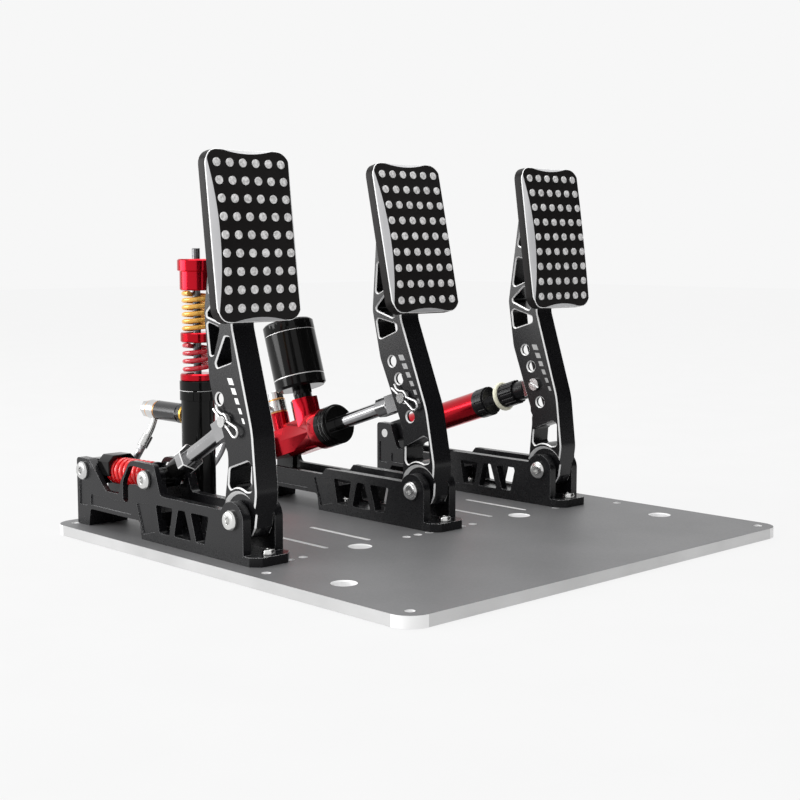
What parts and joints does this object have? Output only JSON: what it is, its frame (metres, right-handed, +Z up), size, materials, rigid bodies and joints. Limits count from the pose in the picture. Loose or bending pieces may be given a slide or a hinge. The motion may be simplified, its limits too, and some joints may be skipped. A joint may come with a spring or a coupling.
{
  "type": "sim racing pedal set",
  "caption": "Sim racing pedal set: clutch, hydraulic brake and throttle pedals with studded pads on one plate.",
  "frame": {"origin": "middle of the plate's underside", "axes": "+X to the driver's right, +Y away from the driver, +Z up"},
  "size_m": [0.4032, 0.4, 0.2863],
  "materials": {
    "plate": "dark grey satin",
    "black_anodised": "black anodised with bright machined edges",
    "bright_steel": "bright zinc",
    "polished_rod": "polished",
    "braided_hose": "braided",
    "red_anodised": "red anodised",
    "red_coated": "red powder coat",
    "gold_coated": "gold coat",
    "copper": "plain copper",
    "ivory": "smooth"
  },
  "bodies": {
    "root": {"base_plate": "plate", "clutch_base": "black_anodised", "brake_base": "black_anodised", "throttle_base": "black_anodised", "base_screws": "bright_steel", "pivot_shafts": "bright_steel", "rear_pins": "bright_steel", "master_cap": "black_anodised", "master_cylinder": "red_anodised", "reservoir_neck": "black_anodised", "reservoir": "black_anodised", "reservoir_lid": "black_anodised", "master_banjo": "bright_steel", "brake_hose": "braided_hose", "slave_banjo": "bright_steel", "banjo_bolts": "bright_steel", "crush_washers": "copper", "pressure_sensor": "bright_steel", "slave_cylinder": "black_anodised", "slave_lock_rings": "black_anodised", "slave_top_cap": "red_anodised", "slave_centre_rod": "bright_steel", "slave_upper_spring": "gold_coated"},
    "clutch_lever": {"clutch_arm": "black_anodised", "clutch_pad": "black_anodised", "clutch_bearings": "bright_steel", "clutch_pin": "bright_steel", "clutch_clip": "bright_steel"},
    "clutch_link": {"clutch_fork": "bright_steel", "clutch_locknut": "bright_steel", "clutch_rod_end": "black_anodised"},
    "clutch_strut": {"clutch_spring_block": "black_anodised", "clutch_spring": "red_coated"},
    "clutch_plunger": {"clutch_plunger": "black_anodised", "clutch_trunnion": "bright_steel"},
    "brake_lever": {"brake_arm": "black_anodised", "brake_pad": "black_anodised", "brake_bearings": "bright_steel", "brake_pin": "bright_steel", "brake_clip": "bright_steel"},
    "brake_link": {"brake_fork": "bright_steel", "brake_locknut": "bright_steel", "brake_push_rod": "polished_rod", "master_piston": "bright_steel"},
    "slave_seat": {"slave_seat": "red_anodised"},
    "slave_spacer": {"slave_spacer": "red_anodised", "slave_lower_spring": "red_coated"},
    "throttle_lever": {"throttle_arm": "black_anodised", "throttle_pad": "black_anodised", "throttle_bearings": "bright_steel", "throttle_pin": "bright_steel"},
    "throttle_strut": {"throttle_tube_cap": "black_anodised", "throttle_tube": "red_anodised", "throttle_spring": "bright_steel", "throttle_eye": "black_anodised"},
    "throttle_link": {"throttle_fork": "bright_steel", "throttle_rod": "polished_rod", "throttle_ring": "ivory"},
    "throttle_knob": {"throttle_knob": "black_anodised"}
  },
  "joints": [
    {"name": "clutch_pedal", "type": "hinge", "parent": "root", "child": "clutch_lever", "pos_m": [-0.168, -0.01125, 0.0373], "axis": [-1, 0, 0], "range_deg": [0, 12], "stiffness_Nm_per_rad": 60, "springref_deg": -5.73},
    {"name": "clutch_link_pin", "type": "hinge", "parent": "clutch_lever", "child": "clutch_link", "pos_m": [-0.168, 0.00275, 0.1033], "axis": [-1, 0, 0], "range_deg": [-17, 0]},
    {"name": "clutch_strut_swing", "type": "hinge", "parent": "root", "child": "clutch_strut", "pos_m": [-0.168, 0.176, 0.0505], "axis": [-1, 0, 0], "range_deg": [0, 3.3]},
    {"name": "clutch_plunger_slide", "type": "slide", "parent": "clutch_strut", "child": "clutch_plunger", "axis": [0, 0.9996, -0.0296], "range_m": [0, 0.0175], "deforming": ["clutch_spring"]},
    {"name": "brake_pedal", "type": "hinge", "parent": "root", "child": "brake_lever", "pos_m": [0.003, -0.01125, 0.0373], "axis": [-1, 0, 0], "range_deg": [0, 6], "stiffness_Nm_per_rad": 300, "springref_deg": -1.72},
    {"name": "push_rod_slide", "type": "slide", "parent": "root", "child": "brake_link", "axis": [0, 0.95, -0.3123], "range_m": [0, 0.0076]},
    {"name": "slave_seat_slide", "type": "slide", "parent": "root", "child": "slave_seat", "axis": [0, 0, 1], "range_m": [0, 0.0061], "deforming": ["slave_lower_spring"]},
    {"name": "slave_spacer_slide", "type": "slide", "parent": "root", "child": "slave_spacer", "axis": [0, 0, 1], "range_m": [0, 0.0031], "deforming": ["slave_upper_spring"]},
    {"name": "throttle_pedal", "type": "hinge", "parent": "root", "child": "throttle_lever", "pos_m": [0.15, -0.01125, 0.0373], "axis": [-1, 0, 0], "range_deg": [0, 9], "stiffness_Nm_per_rad": 35, "springref_deg": -5.73},
    {"name": "throttle_strut_swing", "type": "hinge", "parent": "root", "child": "throttle_strut", "pos_m": [0.15, 0.176, 0.0505], "axis": [-1, 0, 0], "range_deg": [0, 0.4]},
    {"name": "throttle_rod_slide", "type": "slide", "parent": "throttle_strut", "child": "throttle_link", "axis": [0, 0.9512, -0.3087], "range_m": [0, 0.0113], "deforming": ["throttle_spring"]},
    {"name": "throttle_knob_turn", "type": "hinge", "parent": "throttle_link", "child": "throttle_knob", "pos_m": [0.15, -0.0007, 0.10785], "axis": [0, 0.9512, -0.3087], "continuous": true}
  ],
  "couplings": [
    {"joint": "clutch_link_pin", "follows": "clutch_pedal", "ratio": -1.3923},
    {"joint": "clutch_strut_swing", "follows": "clutch_pedal", "ratio": 0.2601},
    {"joint": "clutch_plunger_slide", "follows": "clutch_pedal", "m_per_rad": 0.082043},
    {"joint": "push_rod_slide", "follows": "brake_pedal", "m_per_rad": 0.071227},
    {"joint": "slave_seat_slide", "follows": "brake_pedal", "m_per_rad": 0.0573},
    {"joint": "slave_spacer_slide", "follows": "brake_pedal", "m_per_rad": 0.02865},
    {"joint": "throttle_strut_swing", "follows": "throttle_pedal", "ratio": 0.04042},
    {"joint": "throttle_rod_slide", "follows": "throttle_pedal", "m_per_rad": 0.070888}
  ]
}
